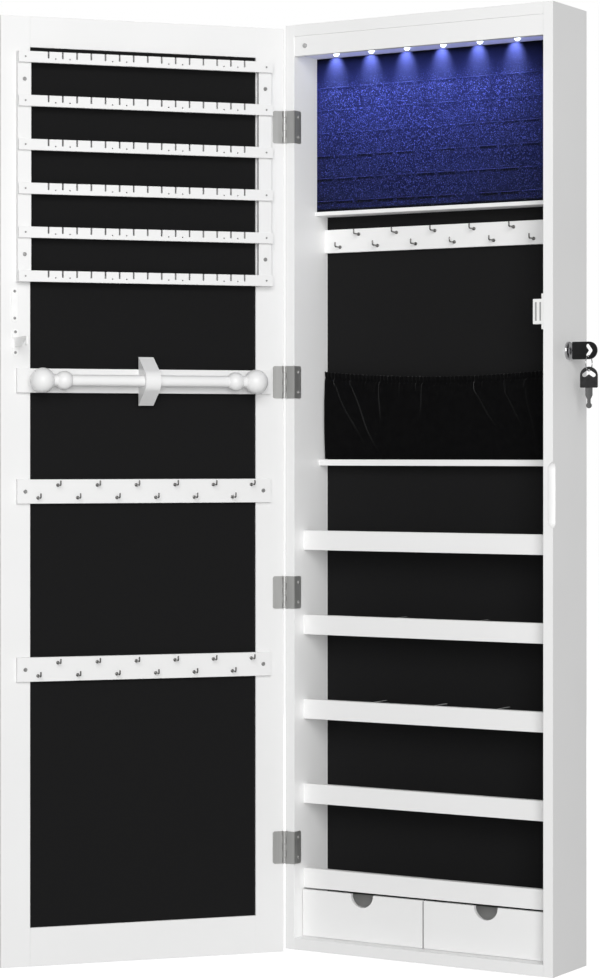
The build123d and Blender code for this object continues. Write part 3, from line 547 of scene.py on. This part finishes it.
def slit_relief(x, z, middle, slits, flatness):
    """How much deeper the slits make the pad's face at a point. The lip below a slit stands proud."""
    cell = math.floor((x - middle) / slit_pitch)
    along = abs((x - middle) / slit_pitch - cell - 0.5) * slit_pitch
    cut = 1 - smooth_step(slit_length / 2 - slit_end_inside, slit_length / 2 + slit_end_outside, along)
    relief = 0
    for index, slit in enumerate(slits):
        away = z - slit
        place = cell * slit_cell_seed + x * slit_parting_scale
        parting = noise_at(place, index * slit_row_seed, slit_parting_seed)
        more = (1 - slit_least_parted) * smooth_step(*slit_parting_range, parting)
        parted = cut * (slit_least_parted + more)
        relief += slit_depth * parted * math.exp(-(away / slit_half) ** 2)
        lip = math.exp(-((away + slit_lip_reach) / slit_lip_reach) ** 2)
        relief -= slit_lip * parted * lip * flatness
    return relief


def make_ring_cushion():
    """The cushion in place of its CAD block, hidden from bounces so that it doesn't tint the boards."""
    low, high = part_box("ring_cushion")
    slits = [low.z + slit_rise + i * slit_pitch for i in range(slit_count)]
    middle = (low.x + high.x) / 2
    points = []
    for z in cushion_heights(low.z, high.z, slits):
        row = []
        for column in range(cushion_columns + 1):
            x = low.x + (high.x - low.x) * column / cushion_columns
            edge = min(x - low.x, high.x - x, z - low.z, high.z - z)
            rounding = 1 - min(1.0, edge / cushion_edge_round)
            depth = cushion_inset + cushion_edge_round * (1 - math.sqrt(max(0.0, 1 - rounding * rounding)))
            depth += slit_relief(x, z, middle, slits, 1 - rounding)
            wobble = noise_at(x * cushion_wobble_scale, z * cushion_wobble_scale, cushion_wobble_seed)
            depth += cushion_wobble * wobble
            row.append((x, low.y + max(0.0, depth), z))
        points.append(row)
    mesh = grid_mesh("ring_cushion_velvet", points, high.y)
    cushion = add_object("ring_cushion_velvet", mesh, "ring_velvet")
    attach(cushion, "cabinet")
    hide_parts("ring_cushion")
    cushion.visible_diffuse = False
    cushion.visible_glossy = False
    return cushion


# Pouch: cloth gathered along an elastic hem, with long loose folds that run down from the gathers
def pouch_folds():
    """Folds as (start, straight, lean, reach, height, width): the long ones, and short ones between them."""
    draw = random.Random(fold_seed)
    folds = []
    for fold in long_folds:
        height = draw.uniform(*long_fold_heights) * MM
        folds.append((*fold, height, draw.uniform(*long_fold_widths)))
    for i in range(short_fold_count):
        start = (i + short_fold_margin + short_fold_spread * draw.random()) / short_fold_count
        reach = draw.uniform(*short_fold_reaches)
        lean = draw.uniform(*short_fold_leans)
        height = draw.uniform(*short_fold_heights) * MM
        folds.append((start, 0.0, lean, reach, height, short_fold_width))
    return folds


def pouch_gather(u, v, hem_start):
    """How strongly the cloth is gathered at a point, and the gathers' phase there."""
    wander = gather_wander * noise_at(u * gather_wander_scale, 0, gather_wander_seed)
    phase = 2 * math.pi * gather_count * u + wander
    over_hem = gather_at_hem + (1 - gather_at_hem) * smooth_step(hem_start, 1, v)
    uneven = gather_mean + gather_uneven * noise_at(u * gather_uneven_scale, gather_uneven_seed, 0)
    return smooth_step(hem_start - gather_fade, hem_start, v) * over_hem * uneven, phase


def pouch_ridge(u, down, folds):
    """How far the folds lift the cloth at a point."""
    ridge = 0
    for start, straight, lean, reach, height, width in folds:
        sway = fold_sway * math.sin(fold_sway_turn * down + fold_sway_shift * start)
        bent = start + lean * max(0.0, down - straight) + sway
        across = (u - bent) / (width * (1 + fold_widening * down))
        fade = smooth_step(*fold_fade_in, down) * (1 - smooth_step(fold_fade_out * reach, reach, down))
        ridge += height * fade * math.exp(-across * across)
    return ridge


def pouch_point(u, v, low, high, folds):
    """A point of the cloth, at a share u along the pouch and v up it."""
    tall = high.z - low.z + pouch_ruffle_rise
    hem_start = 1 - pouch_hem / tall
    gather, phase = pouch_gather(u, v, hem_start)
    ruffle = gather * gather_depth * math.sin(phase)
    swell = noise_at(u * pouch_loose_scale_u, v * pouch_loose_scale_v, pouch_loose_seed)
    loose = pouch_loose * swell * math.sin(math.pi * v)
    bulge = pouch_bulge * math.sin(math.pi * min(1.0, v / hem_start)) ** pouch_bulge_power
    elastic = elastic_depth * math.exp(-((v - hem_start) / elastic_half) ** 2)
    stand = pouch_stand + bulge + loose + pouch_ridge(u, 1 - v, folds) + ruffle - elastic
    stand *= smooth_step(*pouch_side_range, min(u, 1 - u))
    stand = min(stand, high.y - low.y - pouch_front_room)
    sag = pouch_sag * math.sin(math.pi * u) ** pouch_sag_power * v
    rise = pouch_foot + (tall - pouch_trim) * v - sag + gather_rise * gather * math.cos(phase)
    return low.x + (high.x - low.x) * u, high.y - stand, low.z + rise


def make_pouch():
    """The pouch's cloth in place of its CAD block, as a grid with the cloth's thickness."""
    low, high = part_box("pouch")
    folds = pouch_folds()
    points = []
    for row in range(pouch_rows + 1):
        v = row / pouch_rows
        shares = [column / pouch_columns for column in range(pouch_columns + 1)]
        points.append([pouch_point(u, v, low, high, folds) for u in shares])
    pouch = add_object("pouch_cloth", grid_mesh("pouch_cloth", points), "pouch_cloth")
    thick = pouch.modifiers.new("cloth", "SOLIDIFY")
    thick.thickness = pouch_cloth
    thick.offset = 0
    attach(pouch, "cabinet")
    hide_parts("pouch")


# Stage: pale floor below the cabinet, white surroundings, soft studio light
def make_floor():
    """A pale floor that only the camera sees. Its bounce is in the ambient light."""
    mesh = bmesh.new()
    bmesh.ops.create_grid(mesh, x_segments=1, y_segments=1, size=floor_reach)
    data = bpy.data.meshes.new("floor")
    mesh.to_mesh(data)
    mesh.free()
    floor = bpy.data.objects.new("floor", data)
    floor.location.z = cad_low.z - floor_drop
    bpy.context.scene.collection.objects.link(floor)
    s = Surface("floor", Roughness=0.9, Specular_IOR_Level=0.1, Emission_Strength=floor_glow,
                Emission_Color=WHITE)
    s.colour(s.between(s.noise(2, 2), (0.86, 0.86, 0.86), (0.88, 0.88, 0.88)))
    data.materials.append(s.material)
    floor.visible_diffuse = False
    floor.visible_glossy = False


def make_world():
    """White for the camera, and a softer ambient light for the object that changes around the horizon."""
    world = bpy.data.worlds.new("studio")
    bpy.context.scene.world = world
    world.use_nodes = True
    tree = world.node_tree
    tree.nodes.clear()
    output = tree.nodes.new("ShaderNodeOutputWorld")
    seen = tree.nodes.new("ShaderNodeBackground")
    seen.inputs["Color"].default_value = WHITE
    light = tree.nodes.new("ShaderNodeBackground")
    light.inputs["Color"].default_value = WHITE
    direction = tree.nodes.new("ShaderNodeTexCoord")
    parts = tree.nodes.new("ShaderNodeSeparateXYZ")
    tree.links.new(direction.outputs["Generated"], parts.inputs["Vector"])
    height = tree.nodes.new("ShaderNodeMapRange")
    height.inputs["From Min"].default_value = -ambient_band
    height.inputs["From Max"].default_value = ambient_band
    height.inputs["To Min"].default_value = ambient_below
    height.inputs["To Max"].default_value = ambient_above
    tree.links.new(parts.outputs["Z"], height.inputs["Value"])
    tree.links.new(height.outputs["Result"], light.inputs["Strength"])
    path = tree.nodes.new("ShaderNodeLightPath")
    mix = tree.nodes.new("ShaderNodeMixShader")
    tree.links.new(path.outputs["Is Camera Ray"], mix.inputs[0])
    tree.links.new(light.outputs[0], mix.inputs[1])
    tree.links.new(seen.outputs[0], mix.inputs[2])
    tree.links.new(mix.outputs[0], output.inputs["Surface"])


def add_lamp(name, kind, place, target, power, colour=(1, 1, 1), lit=None):
    """A lamp aimed at a target. With lit, it lights only those objects."""
    data = bpy.data.lights.new(name, kind)
    data.energy = power
    data.color = colour
    lamp = bpy.data.objects.new(name, data)
    lamp.location = place
    lamp.rotation_euler = (Vector(target) - Vector(place)).to_track_quat("-Z", "Y").to_euler()
    lamp.visible_camera = False
    bpy.context.scene.collection.objects.link(lamp)
    if lit:
        receivers = bpy.data.collections.new(name)
        for item in lit:
            receivers.objects.link(item)
        lamp.light_linking.receiver_collection = receivers
    return data


def add_area(name, place, target, size, power, **more):
    """A rectangular lamp aimed at a target."""
    data = add_lamp(name, "AREA", place, target, power, **more)
    data.shape = "RECTANGLE"
    data.size, data.size_y = size
    return data


def even_falloff(light):
    """Lets a lamp close to a surface light it without a burnt spot."""
    light.use_nodes = True
    tree = light.node_tree
    falloff = tree.nodes.new("ShaderNodeLightFalloff")
    falloff.inputs["Strength"].default_value = 1.0
    tree.links.new(falloff.outputs["Linear"], tree.nodes["Emission"].inputs["Strength"])


def add_studio_light():
    """The key and the two fills."""
    add_area("key", **key_lamp)
    wall_fill = add_area("wall_fill", **wall_lamp, lit=[nodes["left_side_panel"]])
    wall_fill.use_shadow = False
    add_area("back_fill", **back_lamp)


def add_led_light(cushion):
    """What the six blue lamps light: a cone under each, a glow over the cushion and on the light board."""
    low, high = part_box("led_lenses")
    pad_low, pad_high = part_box("ring_cushion")
    middle = (pad_low.x + pad_high.x) / 2
    radius = (high.y - low.y) / 2
    for i in range(led_count):
        x = low.x + radius + (high.x - low.x - 2 * radius) * i / (led_count - 1) - led_cone_lean
        place = Vector((x, pad_low.y - led_cone_gap, pad_high.z + led_cone_lift))
        target = place + Vector((0, 1, -1))
        cone = add_lamp(f"led_cone_{i + 1}", "SPOT", place, target, led_cone_power, led_pale, [cushion])
        cone.spot_size = led_cone_angle
        cone.spot_blend = 1.0
        cone.shadow_soft_size = led_cone_radius
        cone.use_shadow = False
        even_falloff(cone)
    place = Vector((middle - led_glow_shift, pad_low.y - led_glow_gap, high.z - led_glow_drop))
    target = place + Vector((0, 0, -1))
    glow = add_area("led_glow", place, target, led_glow_size, led_glow_power, colour=led_blue, lit=[cushion])
    glow.use_shadow = False
    board = nodes["light_board"]
    board_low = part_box("light_board")[0]
    place = Vector((middle, (board_low.y + pad_low.y) / 2, board_low.z - led_board_gap))
    target = place + Vector((0, 0, 1))
    add_area("led_board", place, target, led_board_size, led_board_power, colour=led_blue, lit=[board])


def make_camera():
    """The photograph's camera: level, with a shift that puts the optical axis where the photograph has it."""
    data = bpy.data.cameras.new("camera")
    data.sensor_width = sensor_width
    data.lens = sensor_width * focal_pixels / picture_height
    data.shift_x = (picture_width / 2 - axis_column) / picture_height
    data.shift_y = (axis_row - picture_height / 2) / picture_height
    camera = bpy.data.objects.new("camera", data)
    camera.location = camera_place
    camera.rotation_euler = Euler((math.pi / 2, 0, camera_yaw))
    bpy.context.scene.collection.objects.link(camera)
    bpy.context.scene.camera = camera


# The scene
ring_cushion = make_ring_cushion()
make_pouch()
make_floor()
make_world()
add_studio_light()
add_led_light(ring_cushion)
make_camera()
bpy.context.scene.view_settings.view_transform = "Standard"
